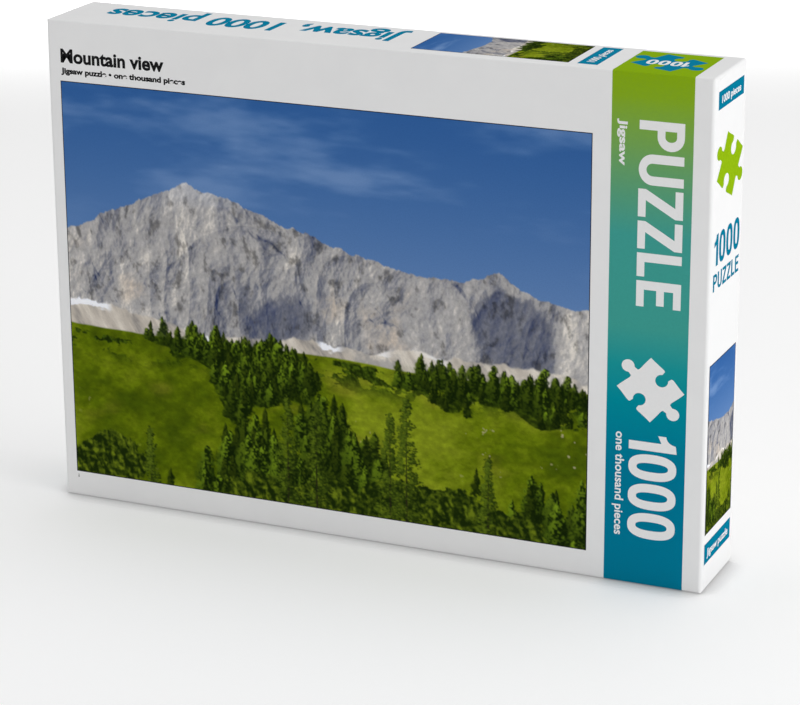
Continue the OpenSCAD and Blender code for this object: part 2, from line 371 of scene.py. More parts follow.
class Noise:
    """Smooth random values on a plane, the same for the same seed."""

    def __init__(self, seed, size=256):
        self.size = size
        self.table = np.random.default_rng(seed).random((size, size)).astype(np.float32)

    def single(self, x, y):
        x0, y0 = np.floor(x), np.floor(y)
        fx, fy = x - x0, y - y0
        fx, fy = fx * fx * (3 - 2 * fx), fy * fy * (3 - 2 * fy)
        i, j = x0.astype(int) % self.size, y0.astype(int) % self.size
        i1, j1 = (i + 1) % self.size, (j + 1) % self.size
        a = self.table[j, i] * (1 - fx) + self.table[j, i1] * fx
        b = self.table[j1, i] * (1 - fx) + self.table[j1, i1] * fx
        return a * (1 - fy) + b * fy

    def cloudy(self, x, y, octaves=5, gain=0.5):
        """Several octaves, from about -1 to 1."""
        total, weight, reach = 0.0, 1.0, 0.0
        for k in range(octaves):
            total = total + weight * (self.single(x * 2**k + 17.3 * k, y * 2**k + 9.1 * k) - 0.5)
            reach += weight * 0.5
            weight *= gain
        return total / reach

    def ridged(self, x, y, octaves=5, gain=0.55):
        """Sharp crests at 1 and rounded hollows towards 0."""
        total, weight, reach = 0.0, 1.0, 0.0
        for k in range(octaves):
            n = 1 - np.abs(2 * self.single(x * 2**k + 5.7 * k, y * 2**k + 31.9 * k) - 1)
            total = total + weight * n * n
            reach += weight
            weight *= gain
        return total / reach


def tint(*rgb):
    return np.array(rgb, np.float32) / 255


def blend(base, colour, share):
    """From base, where share is 0, to colour, where it is 1. Either may be one colour or an image."""
    share = np.asarray(share, np.float32)[..., None]
    return base * (1 - share) + colour * share


class Landscape:
    """A made-up mountain view, laid out by noise and random draws alone.

    x runs from 0 to ASPECT, and y from 0 at the foot to 1 at the top.
    """

    def __init__(self, width):
        height = round(width / ASPECT)
        self.rng = np.random.default_rng(SEED)
        self.noise = Noise(SEED)
        self.x, self.y = np.meshgrid(
            (np.arange(width) + 0.5) / width * ASPECT,
            1 - (np.arange(height) + 0.5) / height,
        )
        self.step = ASPECT / width
        self.image = np.zeros((height, width, 3), np.float32)
        self.sky()
        self.rock()
        self.scree()
        self.cloud()
        self.meadow()
        self.thickets()
        self.forest()
        self.larches()

    def lay(self, colour, mask):
        self.image = blend(self.image, colour, mask)

    def window(self, left, right, low, high):
        """The rows and columns of the image between these places."""
        tall, wide, _ = self.image.shape
        rows = np.clip([int((1 - high) / self.step) - 1, int((1 - low) / self.step) + 1], 0, tall)
        columns = np.clip([int(left / self.step), int(right / self.step) + 2], 0, wide)
        return slice(*rows), slice(*columns)

    def patch(self, cx, cy, wide, tall):
        """A soft ellipse: 1 in its middle and 0 outside."""
        return smooth(1.15, 0.7, np.hypot((self.x - cx) / wide, (self.y - cy) / tall))

    def sky(self):
        t = np.clip((1 - self.y) / 0.42, 0, 1)[..., None] ** 1.2
        self.image[:] = tint(45, 86, 142) * (1 - t) + tint(86, 118, 164) * t
        self.image += 0.003 * self.noise.cloudy(self.x * 3, self.y * 3, 3)[..., None]

    def rock(self):
        x, y, n = self.x, self.y, self.noise
        crest = 0.54 + 0.26 * n.ridged(x * 1.7 + 31.4, x * 0 + 12.5, 2, 0.5)
        crest = crest + 0.022 * n.cloudy(x * 12, x * 0 + 3.3, 6, 0.70)
        warp_x = x + 0.030 * n.cloudy(x * 5 + 11, y * 5, 2)
        warp_y = y + 0.030 * n.cloudy(x * 5, y * 5 + 23, 2)
        relief = 0.006 * n.ridged(warp_x * 17 + warp_y * 5, warp_y * 7, 3, 0.5)
        relief += 0.010 * n.ridged(warp_x * 9 + 3 - warp_y * 4, warp_y * 7, 4, 0.55)
        relief += 0.030 * n.cloudy(warp_x * 10 + 30, warp_y * 7, 6, 0.55)
        relief += 0.064 * n.ridged(warp_x * 3.8 + 8, warp_y * 2.2 + 2, 3, 0.5)
        slope_y, slope_x = np.gradient(relief, self.step)
        light = 0.58 + 0.21 * slope_x + 0.12 * slope_y
        buttresses = n.cloudy(x * 6 + 60, y * 4, 4)
        ledges = n.cloudy(warp_x * 24 + 7, warp_y * 8, 5, 0.6)
        light += 0.26 * buttresses + 0.26 * ledges
        crack = smooth(0.80, 0.97, n.ridged(warp_x * 15 + warp_y * 9 + 40, warp_y * 7, 3, 0.6))
        light = light - 0.30 * crack
        light = np.clip(light, 0, 1.05)
        edge_x = x + 0.050 * n.cloudy(x * 20 + 5, y * 12, 5, 0.7) - 0.010 * slope_x
        edge_y = y + 0.040 * n.cloudy(x * 20, y * 12 + 41, 5, 0.7)
        shade = 0.6 * smooth(0.12, 0.36, n.cloudy(edge_x * 3.4 + 71, edge_y * 4.2 + 3, 2))
        lit = light * (1 - 0.9 * shade)
        colour = blend(tint(34, 44, 78), tint(106, 108, 118), smooth(0.0, 0.36, lit))
        colour = blend(colour, tint(152, 150, 150), smooth(0.32, 0.62, lit))
        colour = blend(colour, tint(204, 198, 190), smooth(0.60, 1.0, lit))
        ochre = smooth(0.20, 0.7, n.cloudy(x * 7 + 50, y * 8, 4)) * smooth(0.4, 0.8, lit)
        colour = blend(colour, tint(196, 172, 146), 0.40 * ochre)
        pits = smooth(0.10, 0.55, n.cloudy(warp_x * 52 + 9, warp_y * 34, 4, 0.65))
        colour = colour * (1 - 0.30 * pits + 0.12 * n.cloudy(x * 110, y * 110, 3, 0.8))[..., None]
        self.lay(colour, smooth(-self.step, self.step, crest - y))

    def scree(self):
        x, y, n = self.x, self.y, self.noise
        top = 0.44 + 0.05 * n.cloudy(x * 2.1 + 63, x * 0 + 4.4, 2)
        top = top + 0.026 * n.cloudy(x * 11, x * 0 + 8.8, 4, 0.5)
        top = top + 0.014 * (n.ridged(x * 22, y * 9, 3) - 0.5)
        depth = top - y
        streak = n.cloudy((x + y * 0.6) * 26, (y - x * 0.2) * 8, 6, 0.65)
        colour = blend(tint(172, 164, 154), tint(206, 199, 188), smooth(-0.2, 0.5, streak))
        colour = blend(colour, tint(118, 115, 114), smooth(0.10, 0.6, -streak))
        green = smooth(0.05, 0.45, n.cloudy(x * 9 + 2, y * 22, 4)) * smooth(0.03, 0.07, depth)
        colour = blend(colour, tint(118, 126, 92), 0.6 * green)
        rough = smooth(0.0, 0.4, n.cloudy(x * 12 + 5, y * 14, 6, 0.7))
        colour = blend(colour, tint(118, 118, 122), 0.5 * rough)
        self.lay(colour, smooth(-0.002, 0.005, depth))
        field = n.cloudy(x * 5.5 + 13, x * 0 + 1.5, 3) * 0.5 + 0.5
        edge = depth - 0.022 * field - 0.020 * n.cloudy(x * 26, y * 60 + 7, 4, 0.6)
        snow = smooth(-0.004, 0.002, depth + 0.008 * n.cloudy(x * 60, y * 60, 3))
        snow = snow * smooth(0.005, -0.005, edge) * smooth(0.50, 0.60, field)
        self.lay(tint(228, 230, 236), 0.95 * snow)

    def cloud(self):
        x, y, n = self.x, self.y, self.noise
        wisps = smooth(0.10, 0.65, n.cloudy(x * 2.4 + 40, y * 9 + 17, 5, 0.55))
        self.lay(tint(182, 194, 218), 0.30 * wisps * smooth(0.60, 0.85, y))

    def meadow(self):
        x, y, n = self.x, self.y, self.noise
        self.brow = 0.385 + 0.06 * n.cloudy(x * 1.5 + 90, x * 0 + 7.7, 2)
        self.brow += 0.008 * n.cloudy(x * 6, x * 0 + 5.5, 5)
        broad = n.cloudy(x * 2.2 + 3, y * 3.2, 3)
        mottled = n.cloudy(x * 14, y * 20 + 5, 5, 0.65)
        colour = blend(tint(84, 100, 10), tint(116, 129, 26), smooth(-0.3, 0.6, broad + 0.7 * mottled))
        colour = blend(colour, tint(60, 76, 9), smooth(0.0, 0.7, -broad - 0.6 * mottled))
        straw = smooth(0.1, 0.7, n.cloudy(x * 8 + 9, y * 16, 4))
        colour = blend(colour, tint(122, 114, 42), 0.40 * straw)
        colour = colour * (1 + 0.22 * n.cloudy(x * 60, y * 90, 4, 0.7))[..., None]
        mask = smooth(-self.step, self.step, self.brow - y)
        self.lay(colour, mask)
        stones = smooth(0.60, 0.66, n.cloudy(x * 70, y * 80 + 90, 3))
        stones = stones * smooth(0.15, 0.5, n.cloudy(x * 5 + 33, y * 5, 3))
        self.lay(tint(172, 160, 136), 0.75 * stones * mask)

    def leaves(self, mask, dark, bright, size, seed):
        """Foliage as lit lumps over a dark ground."""
        x, y, n = self.x + seed, self.y, self.noise
        x = x + 0.3 * size * n.cloudy(y / size, x / size, 3)
        clumps = n.cloudy(x / size, y / size * 0.8, 3, 0.55)
        below = n.cloudy((x - 0.2 * size) / size, (y - 0.35 * size) / size * 0.8, 3, 0.55)
        twigs = n.cloudy(x * 110, y * 120, 3, 0.85)
        light = 0.34 + 1.3 * (clumps - below) + 0.35 * clumps + 0.55 * twigs
        self.lay(blend(dark, bright, np.clip(light, 0, 1)), mask)

    def density(self, x, y):
        """How thick the woods stand at a place, from 0 to 1."""
        total = smooth(-0.06, 0.14, self.noise.cloudy(x * 3.1 + 54, y * 4.6 + 8, 3))
        gaps = self.noise.cloudy(x * 13 + 21, y * 19, 4, 0.6)
        return total * smooth(-0.45, 0.0, gaps)

    def thickets(self):
        """The dark floor under the woods, and dwarf pine under the meadow's brow."""
        x, y, n = self.x, self.y, self.noise
        below = smooth(0.0, 0.01, self.brow - y)
        ragged = 0.35 * n.cloudy(x * 24 + 3, y * 30, 5, 0.65)
        ground = smooth(0.42, 0.62, self.density(x, y) * 0.9 + ragged) * below
        self.leaves(0.85 * ground, tint(18, 30, 6), tint(66, 84, 16), 0.016, 3)
        pine = n.cloudy(x * 20, y * 36, 5, 0.65) + 0.5 * n.cloudy(x * 5 + 6, y * 8, 2)
        zone = below * smooth(0.10, 0.03, self.brow - y)
        self.leaves(0.9 * smooth(0.0, 0.10, pine) * zone, tint(18, 30, 6), tint(60, 80, 16), 0.012, 7)

    def conifer(self, x, base, height, width, tone, taper):
        """One spruce, lit from the left, with a ragged outline of drooping branches."""
        here = self.window(x - width, x + width, base, base + height)
        near_x, near_y = self.x[here], self.y[here]
        up = np.clip((near_y - base) / height, 0, 1)
        rough = self.noise.single(near_x * 230 + 50 * tone, near_y * 250)
        lumps = self.noise.single(near_x * 90 + 90 * tone, near_y * 95)
        half = 0.5 * width * (1 - up) ** taper * (0.25 + 0.50 * rough + 0.90 * lumps)
        half = half * smooth(-0.02, 0.12, up)
        side = (near_x - x) / np.maximum(half, 1e-6)
        mask = 0.92 * smooth(1.25, 0.6, np.abs(side))
        mask = mask * smooth(-0.06, 0.1, up + 0.3 * (rough - 0.5)) * (up < 1)
        glow = smooth(0.9, -0.9, side + 2.2 * (rough - 0.5) + 1.4 * (0.5 - lumps)) * (0.3 + 0.7 * up)
        colour = tint(16, 28, 6) + (tint(78, 96, 20) * tone - tint(16, 28, 6)) * glow[..., None]
        self.image[here] = blend(self.image[here], colour, mask)

    def forest(self):
        """Spruces where the woods are thick, the far and small ones first."""
        count = 9000
        xs = self.rng.random(count) * ASPECT
        ys = -0.07 + self.rng.random(count) * 0.53
        luck = self.rng.random(count)
        density = self.density(xs, ys)
        keep = luck < density**1.5 * (0.16 + 0.80 * np.clip(ys, 0, 1))
        keep &= ys < np.interp(xs, self.x[0], self.brow[0]) - 0.010
        xs, ys = xs[keep], ys[keep]
        grow, tones = self.rng.random(len(xs)), self.rng.random(len(xs))
        for i in np.argsort(-ys):
            near = np.clip((0.42 - ys[i]) / 0.48, 0, 1)
            height = (0.038 + 0.085 * near) * (0.45 + 0.95 * grow[i])
            width = height * (0.34 + 0.26 * tones[i]) + 0.007
            self.conifer(xs[i], ys[i], height, width, 0.62 + 0.95 * tones[i] ** 1.6, 0.4 + 0.5 * grow[-i])

    def dabs(self, xs, ys, size, colours, strength=0.9):
        """Small soft dabs of colour, as leaves and twigs."""
        for x, y, r, colour in zip(xs, ys, size, colours):
            here = self.window(x - r, x + r, y - r, y + r)
            away = np.hypot((self.x[here] - x) / r, (self.y[here] - y) / (0.7 * r))
            self.image[here] = blend(self.image[here], colour, strength * smooth(1.0, 0.4, away))

    def larch(self, x, base, height, reach, leaves):
        """A thin dark stem with ragged tufts of needles along drooping branches."""
        rng = self.rng
        branches = int(50 + 100 * height)
        along = (np.arange(branches) + rng.random(branches)) / branches
        length = reach * (1.02 - along) ** 0.55 * rng.uniform(0.30, 1.0, branches)
        side = rng.choice([-1, 1], branches)
        pick = rng.integers(0, branches, leaves)
        out = rng.random(leaves) ** 0.8
        xs = x + side[pick] * out * length[pick]
        drop = 0.28 * out * length[pick] - 0.25 * length[pick] * out**2 * (rng.random(leaves) < 0.5)
        ys = base + height * along[pick] - drop + 0.0040 * rng.standard_normal(leaves)
        xs = xs + 0.0025 * rng.standard_normal(leaves)
        stem = np.linspace(0, 1, 150)
        bark = np.tile(tint(34, 32, 20), (stem.size, 1))
        self.dabs(np.full_like(stem, x), base + height * stem, 0.0042 - 0.0026 * stem, bark)
        tone = 0.36 - 0.25 * side[pick] * out + 0.30 * rng.standard_normal(leaves)
        tone = np.clip(tone, 0, 1)
        order = np.argsort(tone)
        colours = tint(24, 36, 9) + (tint(86, 104, 24) - tint(24, 36, 9)) * tone[:, None]
        size = 0.0024 + 0.0030 * rng.random(leaves)
        self.dabs(xs[order], ys[order], size[order], colours[order], 0.8)

    def larches(self):
        """Round bushes along the foot, with a few tall larches among them."""
        x, y, n = self.x, self.y, self.noise
        ragged = 0.9 * n.cloudy(x * 30, y * 26 + 4, 5, 0.7)
        for _ in range(9):
            cx, cy = self.rng.uniform(0, ASPECT), self.rng.uniform(-0.03, 0.05)
            wide, tall = self.rng.uniform(0.05, 0.12), self.rng.uniform(0.05, 0.11)
            bush = self.patch(cx, cy, wide, tall)
            mask = smooth(0.42, 0.62, bush + ragged * smooth(0.0, 0.25, bush))
            self.leaves(mask, tint(24, 37, 8), tint(98, 113, 24), 0.02, cx * 40)
        for _ in range(6):
            height = self.rng.uniform(0.16, 0.40)
            self.larch(self.rng.uniform(0, ASPECT), -0.04, height, 0.16 * height, int(4000 * height))


PAINT_COLUMNS = 820
SMALL_PITCH = 0.3     # between the coloured points of the small pictures
painting = to_linear(np.clip(Landscape(PAINT_COLUMNS).image, 0, 1)) / FRONT_LIGHT


# ---------------- flat shapes and lettering

def solid_from(curve):
    """The corners and faces of a filled, extruded curve, whose extrusion ends at local z -1 and +1."""
    curve.fill_mode = "BOTH"
    curve.extrude = 1.0
    carrier = bpy.data.objects.new("carrier", curve)
    scene.collection.objects.link(carrier)
    bpy.context.view_layer.update()
    graph = bpy.context.evaluated_depsgraph_get()
    mesh = bpy.data.meshes.new_from_object(carrier.evaluated_get(graph))
    points = np.array([v.co for v in mesh.vertices], float)
    faces = [tuple(p.vertices) for p in mesh.polygons]
    bpy.data.objects.remove(carrier)
    bpy.data.meshes.remove(mesh)
    return points, faces


def text_solid(text, bolder=0.0):
    curve = bpy.data.curves.new("text", "FONT")
    curve.body = text
    curve.resolution_u = 5
    curve.offset = bolder
    return solid_from(curve)


def loops_solid(loops):
    """A filled shape from closed loops of (x, y) points; a loop inside another is a hole."""
    curve = bpy.data.curves.new("loops", "CURVE")
    curve.dimensions = "2D"
    for loop in loops:
        spline = curve.splines.new("POLY")
        spline.points.add(len(loop) - 1)
        for point, (x, y) in zip(spline.points, loop):
            point.co = (x, y, 0, 1)
        spline.use_cyclic_u = True
    return solid_from(curve)


CAP_TOP = text_solid("H")[0][:, 1].max()     # the height of the font's capitals


def turned(rect, s, t, turn):
    """Places in rect (u0, v0, u1, v1) of shares s to the right and t up, after quarter turns clockwise."""
    u0, v0, u1, v1 = rect
    across, down = u1 - u0, v1 - v0
    return {
        0: (u0 + s * across, v1 - t * down),
        1: (u0 + t * across, v0 + s * down),
        2: (u1 - s * across, v0 + t * down),
        3: (u1 - t * across, v1 - s * down),
    }[turn]


def stamp(name, solid, panel, rect, turn, material, lift=0.0, base=None, cap=None):
    """Prints a flat solid so that it fills rect on a panel, after quarter turns clockwise.

    base and cap are the local heights that lie on the rect's edges, where the shape may go past them.
    """
    points, faces = solid
    x, y = points[:, 0], points[:, 1]
    base = y.min() if base is None else base
    cap = y.max() if cap is None else cap
    s = (x - x.min()) / (x.max() - x.min())
    t = (y - base) / (cap - base)
    u, v = turned(rect, s, t, turn)
    raised = np.where(points[:, 2] > 0, lift + INK, lift - SINK)
    return mesh_piece(name, panel.points(np.c_[u, v], raised), faces, material, "lid")


def write(name, text, panel, rect, turn, material, lift=0.0, bolder=0.0):
    """Small text, whose capitals stand between the rect's edges."""
    return stamp(name, text_solid(text, bolder), panel, rect, turn, material, lift, 0, CAP_TOP)


def arc(cx, cy, rx, ry, start, end, steps=12):
    """Points along an ellipse, with angles in degrees."""
    angles = np.radians(np.linspace(start, end, steps + 1))
    return [(cx + rx * math.cos(a), cy + ry * math.sin(a)) for a in angles]


CAP, STEM, BAR = 23.3, 4.6, 4.0     # height, upright and level strokes of the big letters


def oval(cx, cy, rx, ry, square=2.5, steps=56):
    """An oval that is a little squarer than an ellipse."""
    loop = []
    for k in range(steps):
        a = 2 * math.pi * k / steps
        c, s = math.cos(a), math.sin(a)
        loop.append((cx + rx * math.copysign(abs(c) ** (2 / square), c),
                     cy + ry * math.copysign(abs(s) ** (2 / square), s)))
    return loop


def letter_p(w=14.6):
    low = 0.40 * CAP
    r = (CAP - low) / 2
    q = r - BAR
    outer = [(0, 0), (STEM, 0), (STEM, low), *arc(w - r, low + r, r, r, -90, 90), (0, CAP)]
    inner = [(STEM, low + BAR), *arc(w - r, low + r, r - STEM, q, -90, 90), (STEM, CAP - BAR)]
    return w, [outer, inner]


def letter_u(w=15.6):
    r = w / 2
    outer = [(0, CAP), *arc(r, 0.92 * r, r, 0.92 * r, 180, 360, 20), (w, CAP), (w - STEM, CAP)]
    inner = arc(r, 0.92 * r, r - STEM, 0.92 * r - BAR, 360, 180, 20)
    return w, [outer + inner + [(STEM, CAP)]]


def letter_z(w=14.2):
    slant = 5.6
    return w, [[(0, 0), (w, 0), (w, BAR), (slant, BAR), (w, CAP - BAR), (w, CAP), (0, CAP),
                (0, CAP - BAR), (w - slant, CAP - BAR), (0, BAR)]]


def letter_l(w=12.2):
    return w, [[(0, 0), (w, 0), (w, BAR), (STEM, BAR), (STEM, CAP), (0, CAP)]]


def letter_e(w=13.4):
    low, high, short = 0.45 * CAP, 0.45 * CAP + BAR, 0.92 * w
    return w, [[(0, 0), (w, 0), (w, BAR), (STEM, BAR), (STEM, low), (short, low), (short, high),
                (STEM, high), (STEM, CAP - BAR), (w, CAP - BAR), (w, CAP), (0, CAP)]]


def digit_1(w=8.6):
    flag = arc(0, CAP + 0.4, w - STEM * 0.9, 0.24 * CAP, 270, 350, 8)
    return w, [[(w - STEM, 0), (w, 0), (w, CAP), *reversed(flag), (0, 0.61 * CAP),
                (w - STEM, 0.68 * CAP)]]


def digit_0(w=14.0):
    return w, [oval(w / 2, CAP / 2, w / 2, CAP / 2), oval(w / 2, CAP / 2, w / 2 - STEM, CAP / 2 - BAR)]


GLYPHS = {"P": letter_p, "U": letter_u, "Z": letter_z, "L": letter_l, "E": letter_e,
          "1": digit_1, "0": digit_0}


def big_word(text, gap=2.1):
    """The loops of a word in the box's own heavy narrow letters."""
    loops, x = [], 0.0
    for letter in text:
        width, shape = GLYPHS[letter]()
        loops += [[(px + x, py) for px, py in loop] for loop in shape]
        x += width + gap
    return loops_solid(loops)


def jigsaw_solid(tabs, turn_degrees):
    """A jigsaw piece of side 1 about the origin; tabs holds +1 for a tab and -1 for a socket."""
    neck, head, reach, belly = 0.085, 0.135, 0.175, 0.035
    lean = math.asin(neck / head)
    knob = [(head * math.sin(a), reach - head * math.cos(a))
            for a in np.linspace(-lean, -2 * math.pi + lean, 26)]
    shoulder = [(x, -belly * math.cos(math.pi * x) ** 2) for x in np.linspace(-0.5, -0.17, 9)]
    throat_y = knob[0][1]
    left = shoulder + [(-0.13, -0.026), (-0.10, -0.012), (-0.088, throat_y)]
    side = left + knob[1:-1] + [(-x, y) for x, y in reversed(left)]
    loop = []
    for k, way in enumerate(tabs):
        a = math.radians(90 * k + turn_degrees)
        for x, y in side[:-1]:
            px, py = -x, 0.5 + way * y
            loop.append((px * math.cos(a) - py * math.sin(a), px * math.sin(a) + py * math.cos(a)))
    return loops_solid([loop])


PLATE = loops_solid([[(0, 0), (1, 0), (1, 1), (0, 1)]])


def plate(name, panel, rect, material, lift=0.0):
    """A printed rectangle."""
    return stamp(name, PLATE, panel, rect, 0, material, lift)


def picture(name, panel, rect, crop, turn=0, lift=0.0, pitch=None):
    """Prints part of the painting: crop (x0, y0, x1, y1) is in shares of it from its top left.

    pitch is the distance between the coloured points; without one, it follows the painting's grid.
    """
    u0, v0, u1, v1 = rect
    rows, columns = painting.shape[:2]
    wide, tall = (u1 - u0, v1 - v0) if turn % 2 == 0 else (v1 - v0, u1 - u0)
    pitch = pitch or PICTURE_WIDTH / columns
    nx, ny = round(wide / pitch) + 1, round(tall / pitch) + 1
    s, t = np.meshgrid(np.linspace(0, 1, nx), np.linspace(0, 1, ny))
    x0, y0, x1, y1 = crop
    px = np.clip((x0 + s * (x1 - x0)) * columns - 0.5, 0, columns - 1.001)
    py = np.clip((y0 + t * (y1 - y0)) * rows - 0.5, 0, rows - 1.001)
    i, j = px.astype(int), py.astype(int)
    fx, fy = (px - i)[..., None], (py - j)[..., None]
    above = painting[j, i] * (1 - fx) + painting[j, i + 1] * fx
    below = painting[j + 1, i] * (1 - fx) + painting[j + 1, i + 1] * fx
    colours = (above * (1 - fy) + below * fy).reshape(-1, 3)
    u, v = turned(rect, s.ravel(), 1 - t.ravel(), turn)
    top = panel.points(np.c_[u, v], lift + INK)
    grid = np.arange(nx * ny).reshape(ny, nx)
    quads = np.stack([grid[:-1, :-1], grid[1:, :-1], grid[1:, 1:], grid[:-1, 1:]], -1).reshape(-1, 4)
    rim = np.r_[grid[0, :-1], grid[:-1, -1], grid[-1, :0:-1], grid[:0:-1, 0]]
    skirt = panel.points(np.c_[u[rim], v[rim]], lift - SINK)
    low = nx * ny + np.arange(len(rim))
    walls = np.stack([rim, np.roll(rim, -1), np.roll(low, -1), low], -1)
    piece = mesh_piece(name, np.r_[top, skirt], np.r_[quads, walls], PICTURE, "lid")
    paint = piece.data.color_attributes.new("paint", "FLOAT_COLOR", "POINT")
    values = np.ones((nx * ny + len(rim), 4), np.float32)
    values[:nx * ny, :3] = colours
    values[nx * ny:, :3] = colours[rim]
    paint.data.foreach_set("color", values.ravel())


# ---------------- the print on the lid

SIDE_LIFT = FLAP        # the short sides carry folded-in paper, and their print lies on it
LABEL_LIFT = 0.03       # lettering stands on its label
PICTURE_LIFT = 0.02     # a picture stands on the plate that shows as its keyline


def strip_profile(lift, back_stop):
    """(y, z) around the lid from its foot, over the front, to its top, between the two folded edges."""
    r = LONG_FOLD
    y, low, high = LID_LOW.y + r, LID_LOW.z + r, LID_HIGH.z - r
    return [(back_stop, low - r - lift), *arc(y, low, r + lift, r + lift, 270, 180, 8),
            *arc(y, high, r + lift, r + lift, 180, 90, 8), (back_stop, high + r + lift)]


def coloured_band(left, right, back_gap):
    """The coloured band runs over the front and on over both long sides."""
    back_stop = LID_HIGH.y - back_gap
    outer, inner = strip_profile(INK, back_stop), strip_profile(-SINK, back_stop)
    count = len(outer)
    verts = [Vector((LID_LOW.x + u, y, z)) * MM for u in (left, right) for y, z in outer + inner]
    faces = []
    for k in range(count - 1):
        for shift, flip in ((0, False), (count, True)):
            a, b = k + shift, k + 1 + shift
            quad = (a, b, b + 2 * count, a + 2 * count)
            faces.append(quad[::-1] if flip else quad)
        for shift, flip in ((0, True), (2 * count, False)):
            quad = (k + shift, k + 1 + shift, k + 1 + count + shift, k + count + shift)
            faces.append(quad[::-1] if flip else quad)
    for k in (0, count - 1):
        end = (k, k + count, k + 3 * count, k + 2 * count)
        faces.append(end if k == 0 else end[::-1])
    mesh_piece("front_band", verts, faces, BAND, "lid")


def front_print():
    p = FRONT_SIDE
    write("title", "Mountain view", p, (8.0, 15.6, 69.6, 22.5), 0, BLACK, bolder=0.034)
    words = "Jigsaw puzzle • one thousand pieces"
    write("subtitle", words, p, (8.0, 25.7, 82, 28.5), 0, BLACK, bolder=0.045)
    left, top = 7.8, 33.1
    right, foot = left + PICTURE_WIDTH, top + PICTURE_TALL
    edge = 0.45
    plate("picture_keyline", p, (left - edge, top - edge, right + edge, foot + edge), KEYLINE)
    picture("front_picture", p, (left, top, right, foot), (0, 0, 1, 1), lift=PICTURE_LIFT)
    write("picture_mark", "i", p, (left + 0.3, foot + 2.0, left + 0.8, foot + 4.0), 0, BLACK)
    coloured_band(left=317.2, right=359.5, back_gap=3.4)
    on = LABEL_LIFT
    stamp("band_puzzle", big_word("PUZZLE"), p, (331.7, 23.7, 355, 118.7), 1, WHITE, on)
    stamp("band_jigsaw", jigsaw_solid((-1, 1, -1, 1), 45), p, (322.5, 145, 358.2, 179.2), 1, WHITE, on)
    stamp("band_1000", big_word("1000", 1.9), p, (329.5, 186, 355, 242.5), 1, WHITE, on)
    write("band_kind", "Jigsaw", p, (321.6, 23.9, 325.4, 47.5), 1, WHITE, on, 0.03)
    write("band_count", "one thousand pieces", p, (322.6, 186.3, 327, 242.3), 1, WHITE, on, 0.02)


def small_picture(name, panel, rect, start, turn=0, lift=0.0):
    """A slice of the painting, from this share of its width on, with a thin dark line round it."""
    u0, v0, u1, v1 = rect
    edge = 0.4
    plate(f"{name}_keyline", panel, (u0 - edge, v0 - edge, u1 + edge, v1 + edge), KEYLINE, lift)
    wide, tall = (u1 - u0, v1 - v0) if turn % 2 == 0 else (v1 - v0, u1 - u0)
    low, high = 0.02, 0.98
    share = wide / tall / ASPECT
    crop = (start, low, start + share * (high - low), high)
    picture(name, panel, rect, crop, turn, lift + PICTURE_LIFT, SMALL_PITCH)


def short_side_print(name, panel):
    """The same print on both short sides."""
    on = SIDE_LIFT
    over = on + LABEL_LIFT
    plate(f"{name}_upper_label", panel, (4.8, 7.6, 45.6, 16.8), BRIGHT_TEAL, on)
    write(f"{name}_upper_words", "1000 pieces", panel, (10, 10.5, 40.6, 14.1), 0, WHITE, over, 0.02)
    stamp(f"{name}_jigsaw", jigsaw_solid((1, -1, 1, -1), 58), panel, (4.6, 30.6, 47.4, 65.8), 0, GREEN, on)
    stamp(f"{name}_1000", big_word("1000", 1.9), panel, (4.6, 79.6, 45.7, 96), 0, BRIGHT_TEAL, on)
    stamp(f"{name}_puzzle", big_word("PUZZLE"), panel, (4.0, 99.9, 45.7, 108.7), 0, BRIGHT_TEAL, on)
    small_picture(f"{name}_picture", panel, (3.2, 147.2, 45.4, 236.9), 0.50, lift=on)
    plate(f"{name}_lower_label", panel, (2.8, 242.4, 45.4, 253.4), BRIGHT_TEAL, on)
    write(f"{name}_lower_words", "Jigsaw puzzle", panel, (7.0, 246.0, 41.4, 250.0), 0, WHITE, over, 0.02)


def top_print():
    p = TOP_SIDE
    write("top_slogan", "Jigsaw, 1000 pieces", p, (22, 11.4, 193, 30.4), 2, TEAL, bolder=0.03)
    small_picture("top_picture", p, (207.4, 3.2, 291.2, 41.8), 0.52, turn=3)
    plate("top_label", p, (296.2, 3.2, 306.8, 42.2), TEAL)
    write("top_label_words", "1000 pieces", p, (299.4, 8.2, 303.4, 37), 3, WHITE, LABEL_LIFT, 0.02)
    on = LABEL_LIFT
    stamp("top_jigsaw", jigsaw_solid((1, -1, 1, -1), 64), p, (318, 6.7, 358, 42), 2, TEAL, on)
    stamp("top_1000", big_word("1000", 1.9), p, (327, 20.8, 349, 30.4), 2, WHITE, on + LABEL_LIFT)


def bottom_print():
    p = BOTTOM_SIDE
    write("bottom_slogan", "Jigsaw, 1000 pieces", p, (19, 17, 195, 31.4), 0, TEAL, bolder=0.03)
    plate("bottom_label", p, (293.6, 5.6, 305, 44.4), TEAL)
    write("bottom_label_words", "1000 pieces", p, (297.6, 10.4, 301.6, 39.6), 1, WHITE, LABEL_LIFT, 0.01)
    on = LABEL_LIFT
    stamp("bottom_jigsaw", jigsaw_solid((1, -1, 1, -1), 20), p, (317.4, 5, 357.4, 41), 0, TEAL, on)
    stamp("bottom_1000", big_word("1000", 1.9), p, (326, 16.2, 347.4, 27.6), 0, WHITE, on + LABEL_LIFT)


